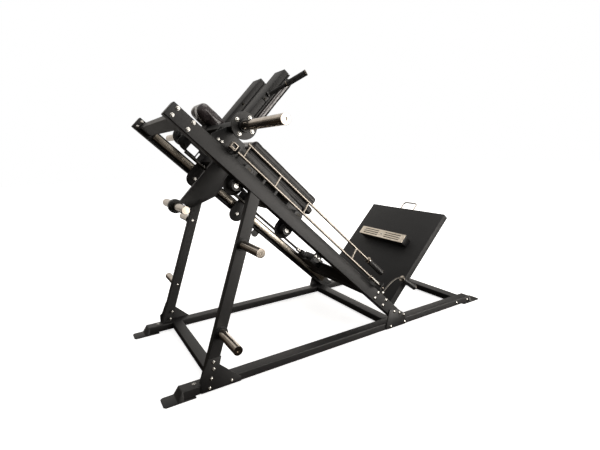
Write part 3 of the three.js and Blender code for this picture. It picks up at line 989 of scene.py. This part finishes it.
def build_catch_ladder():
    """Two long rods with rungs between them, turned by a rubber grip against a spring."""
    body = "catch_ladder"
    low_y, low_h = -545, 98
    high_y, high_h = -525, 176
    rods = [
        round_bar((-398, low_y, low_h), (-1782, low_y, low_h), 7.5, sides=20),
        round_bar((-600, high_y, high_h), (-1712, high_y, high_h), 7.5, sides=20),
    ]
    for s in LADDER_RUNGS:
        rods.append(
            round_bar((-s, low_y, low_h), (-s, high_y, high_h), 5.5, edge=0.5, sides=16)
        )
    finish(joined(rods), body + "_rods", body, ROD_CHROME, stands_for=[body])
    grip = grip_sleeve((-606, high_y, high_h), (1, 0, 0), 150, 20)
    name = body + "_grip"
    finish(grip, name + "_sleeve", body, GRIP_RUBBER, stands_for=[name])
    collars = [
        turned([(0, 9), (1, 21), (8, 21), (9, 9)], (-602, high_y, high_h), (-1, 0, 0)),
        turned([(0, 21), (4, 20), (8, 16), (10, 9)], (-456, high_y, high_h), (1, 0, 0)),
        turned([(0, 9), (1, 12), (12, 12), (13, 9)], (-404, low_y, low_h), (1, 0, 0)),
        turned([(0, 9), (1, 13), (9, 13), (10, 9)], (-520, low_y, low_h), (-1, 0, 0)),
    ]
    finish(joined(collars), body + "_collars", body, CHROME)
    clamp = block((-1790, -1753), (-562, -528), (86, 122), edge=2)
    bore = block((-1786, -1757), (-600, -500), (90, 118), edge=0)
    apply_modifier(clamp, "BOOLEAN", object=bore, operation="DIFFERENCE", solver="EXACT")
    discard(bore)
    finish(clamp, body + "_clamp", body, ROD_CHROME)
    spring = coil_spring((-449, low_y, low_h), 71, 11.5, 1.9, 11)
    finish(spring, body + "_spring", body, ZINC)


build_catch_ladder()


def build_release_lever():
    y = -466
    knots = [(288, 94), (280, 150), (262, 212), (238, 252), (205, 271), (168, 277)]
    bar = bent_rod([(-s, y, h) for s, h in knots], 6.2)
    eye = turned(
        [(0, 9), (1, 11), (12, 11), (13, 9)], (-288, y - 6.5, 94), (0, 1, 0)
    )
    piece = joined([bar, eye])
    finish(
        piece,
        "release_lever_bar",
        "release_lever",
        DARK_ROD,
        stands_for=["release_lever"],
    )
    start = Vector((-198, y, 272))
    way = (Vector((-50, y, 292)) - start).normalized()
    grip = grip_sleeve(start, way, 149, 20)
    finish(grip, "lever_grip", "release_lever", GRIP_RUBBER)
    rings = [
        turned([(at, 10), (at + 1, 21), (at + 7, 21), (at + 9, 10)], start, way)
        for at in (-5, 146)
    ]
    finish(joined(rings), "lever_grip_rings", "release_lever", CHROME)
    places = [((-288, y - 6.5, 94), (0, -1, 0))]
    fasten("lever_pivot_bolt", BUTTON, "release_lever", places)


build_release_lever()


# ------------------------------------------------------------------ guide rod
def build_guide_rod():
    bar = round_bar((-560, 0, GUIDE_H), (-1835, 0, GUIDE_H), 8.5, sides=20)
    finish(bar, "guide_rod_bar", "frame", BLACK_ROD, stands_for=["guide_rod"])
    stops = [
        turned([(0, 12), (1, 15), (12, 15), (13, 12)], (-s, 0, GUIDE_H), (-1, 0, 0), 6)
        for s in (752, 768)
    ]
    finish(joined(stops), "guide_rod_nuts", "frame", ZINC)
    buffer = turned(
        [(0, 20), (2, 23), (14, 23), (18, 19), (22, 23), (34, 23), (38, 19), (42, 22), (50, 20)],
        (-690, 0, GUIDE_H),
        (-1, 0, 0),
    )
    finish(buffer, "rubber_buffer", "frame", RUBBER)


build_guide_rod()


# ------------------------------------------------------------------ foot platform
def build_platform():
    dressed("foot_platform", "platform", PLATFORM_COAT, edge=2.4)
    dressed("calf_block", "platform", COAT, edge=3.0)
    dressed("calf_tread", "platform", TREAD_METAL, edge=0.8)

    half = [(72, 907), (72, 930), (72, 950), (69, 962), (60, 970.5), (48, 973.5)]
    points = [(HANDLE_X, HANDLE_Y - y, h) for y, h in half] + [(HANDLE_X, HANDLE_Y, 974)]
    points += [(HANDLE_X, HANDLE_Y + y, h) for y, h in reversed(half)]
    handle = bent_rod(points, 5.8, resolution=6)
    finish(
        handle, "platform_handle_loop", "platform", ROD_CHROME,
        stands_for=["platform_handle"],
    )
    places = [((-194.3, side * 206, 584), (-1, 0, 0)) for side in (-1, 1)]
    places.append(((-194.3, 0, 584), (-1, 0, 0)))
    fasten("tread_screws", BUTTON, "platform", places, size=0.6)


build_platform()

for model in (BUTTON, HEXAGON):
    discard(model)
